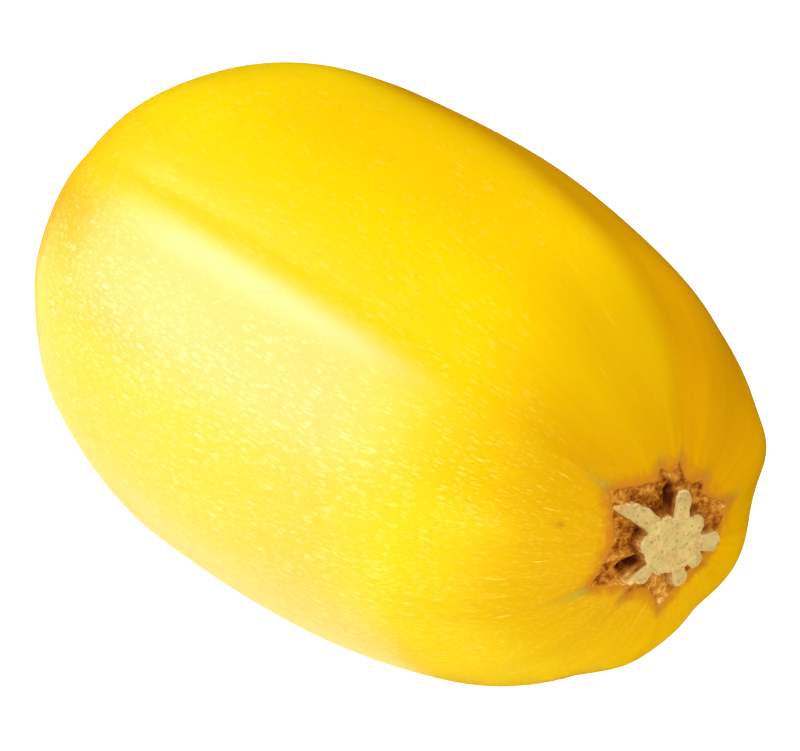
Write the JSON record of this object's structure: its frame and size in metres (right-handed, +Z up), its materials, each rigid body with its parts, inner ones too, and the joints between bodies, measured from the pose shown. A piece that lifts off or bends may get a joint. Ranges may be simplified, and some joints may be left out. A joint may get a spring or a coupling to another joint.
{
  "type": "spaghetti squash",
  "caption": "Whole ripe spaghetti squash lying on its side: a long ribbed golden-yellow fruit with a star-shaped corky stem scar and a lobed, cut-off stem.",
  "frame": {"origin": "middle of the bottom of the bounding box, on the surface that the squash lies on", "axes": "+X along the fruit towards the stem, +Z up, +Y to the side; the blossom end is at -X"},
  "size_m": [0.2442, 0.1404, 0.1388],
  "materials": {
    "rind": "smooth waxy golden-yellow rind with fine pale flecks along the ribs, satin gloss",
    "cut_stem": "dry matt cut stem, pale cream with small dark vessel ends, brown corky flanks"
  },
  "bodies": {
    "root": {"squash_fruit": "rind", "stem_stub": "cut_stem"}
  },
  "joints": []
}
